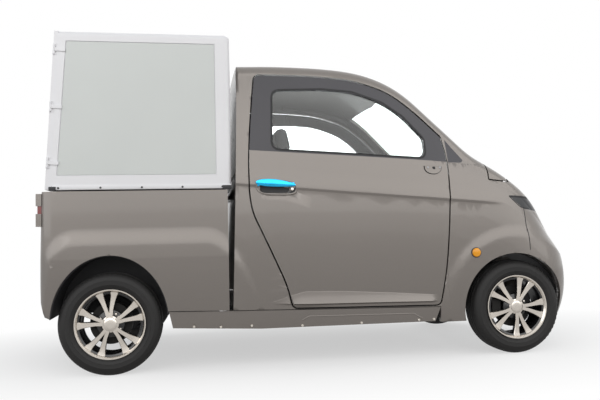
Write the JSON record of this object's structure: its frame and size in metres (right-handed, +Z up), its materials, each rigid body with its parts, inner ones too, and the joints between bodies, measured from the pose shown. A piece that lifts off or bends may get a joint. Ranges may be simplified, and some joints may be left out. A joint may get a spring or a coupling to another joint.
{
  "type": "cargo microcar",
  "caption": "Small two-seat cab vehicle with a closed cargo box over the rear axle, opening doors, bonnet and box door, and steered front wheels.",
  "frame": {"origin": "centre of the whole vehicle on the ground", "axes": "+X forwards, +Y to the left of the vehicle, +Z up"},
  "size_m": [3.059, 1.4404, 1.802],
  "materials": {
    "chassis_black": "satin black",
    "body_primer": "satin",
    "body_paint": "metallic beige grey, glossy",
    "clear_glass": "clear",
    "black_trim": "satin black",
    "lamp_dark": "gloss",
    "steel": "satin",
    "dark_plastic": "matt",
    "lamp_red": "gloss",
    "box_white": "semi-gloss white",
    "panel_grey": "semi-gloss pale grey",
    "seat_fabric": "woven",
    "battery_case": "satin",
    "chrome_blue": "polished",
    "cast_iron": "as cast",
    "tyre": "matt rubber",
    "alloy": "machined"
  },
  "bodies": {
    "body": {"chassis_frame": "chassis_black", "suspension_towers": "chassis_black", "floor_pan": "body_primer", "hinge_pillars": "body_primer", "cab_shell": "body_paint", "windscreen": "clear_glass", "quarter_trims": "black_trim", "front_wings": "body_paint", "front_panel": "black_trim", "headlamps": "lamp_dark", "front_bumper": "body_paint", "bonnet_hinge": "steel", "arch_liners": "dark_plastic", "sills": "body_paint", "bed_sides": "body_paint", "tail_panel": "body_paint", "tail_blocks": "body_paint", "tail_lenses": "lamp_red", "bed_deck": "chassis_black", "box_bearers": "chassis_black", "box_shell": "box_white", "box_panels": "panel_grey", "box_hinges": "steel", "seats": "seat_fabric", "dashboard": "dark_plastic", "battery_pack": "battery_case", "rear_axle": "chassis_black", "rear_springs": "steel", "front_suspension": "steel", "steering_rack": "steel"},
    "bonnet": {"bonnet": "body_paint"},
    "box_door": {"box_door": "box_white"},
    "steering_wheel": {"steering_wheel": "dark_plastic"},
    "door_left": {"door_panel_left": "body_paint", "door_frame_left": "black_trim", "door_glass_left": "clear_glass", "door_handle_left": "chrome_blue"},
    "knuckle_left": {"knuckle_left": "cast_iron"},
    "wheel_front_left": {"tyre_front_left": "tyre", "rim_front_left": "alloy", "brake_front_left": "steel"},
    "wheel_rear_left": {"tyre_rear_left": "tyre", "rim_rear_left": "alloy", "brake_rear_left": "steel"},
    "door_right": {"door_panel_right": "body_paint", "door_frame_right": "black_trim", "door_glass_right": "clear_glass", "door_handle_right": "chrome_blue"},
    "knuckle_right": {"knuckle_right": "cast_iron"},
    "wheel_front_right": {"tyre_front_right": "tyre", "rim_front_right": "alloy", "brake_front_right": "steel"},
    "wheel_rear_right": {"tyre_rear_right": "tyre", "rim_rear_right": "alloy", "brake_rear_right": "steel"}
  },
  "joints": [
    {"name": "door_left_swing", "type": "hinge", "parent": "body", "child": "door_left", "pos_m": [0.60531, 0.686, 0.9], "axis": [0, 0, -1], "range_deg": [0, 60]},
    {"name": "steer_left", "type": "hinge", "parent": "body", "child": "knuckle_left", "pos_m": [1.09247, 0.5865, 0.2655], "axis": [0, 0, 1], "range_deg": [-28, 28]},
    {"name": "spin_front_left", "type": "hinge", "parent": "knuckle_left", "child": "wheel_front_left", "pos_m": [1.09247, 0.6125, 0.2655], "axis": [0, 1, 0], "continuous": true},
    {"name": "spin_rear_left", "type": "hinge", "parent": "body", "child": "wheel_rear_left", "pos_m": [-1.16353, 0.6125, 0.2655], "axis": [0, 1, 0], "continuous": true},
    {"name": "door_right_swing", "type": "hinge", "parent": "body", "child": "door_right", "pos_m": [0.60531, -0.686, 0.9], "axis": [0, 0, 1], "range_deg": [0, 60]},
    {"name": "steer_right", "type": "hinge", "parent": "body", "child": "knuckle_right", "pos_m": [1.09247, -0.5865, 0.2655], "axis": [0, 0, 1], "range_deg": [-28, 28]},
    {"name": "spin_front_right", "type": "hinge", "parent": "knuckle_right", "child": "wheel_front_right", "pos_m": [1.09247, -0.6125, 0.2655], "axis": [0, 1, 0], "continuous": true},
    {"name": "spin_rear_right", "type": "hinge", "parent": "body", "child": "wheel_rear_right", "pos_m": [-1.16353, -0.6125, 0.2655], "axis": [0, 1, 0], "continuous": true},
    {"name": "steering_wheel_turn", "type": "hinge", "parent": "body", "child": "steering_wheel", "pos_m": [0.40447, 0.265, 0.96], "axis": [-0.9063, 0, 0.4226], "range_deg": [-450, 450]},
    {"name": "bonnet_lift", "type": "hinge", "parent": "body", "child": "bonnet", "pos_m": [0.97411, 0, 1.15197], "axis": [0, -1, 0], "range_deg": [0, 45]},
    {"name": "box_door_swing", "type": "hinge", "parent": "body", "child": "box_door", "pos_m": [-1.47743, -0.693, 0.96403], "axis": [0.0583, 0, 0.9983], "range_deg": [0, 110]}
  ],
  "couplings": [
    {"joint": "steer_right", "follows": "steer_left", "ratio": 1},
    {"joint": "steering_wheel_turn", "follows": "steer_left", "ratio": 16}
  ]
}
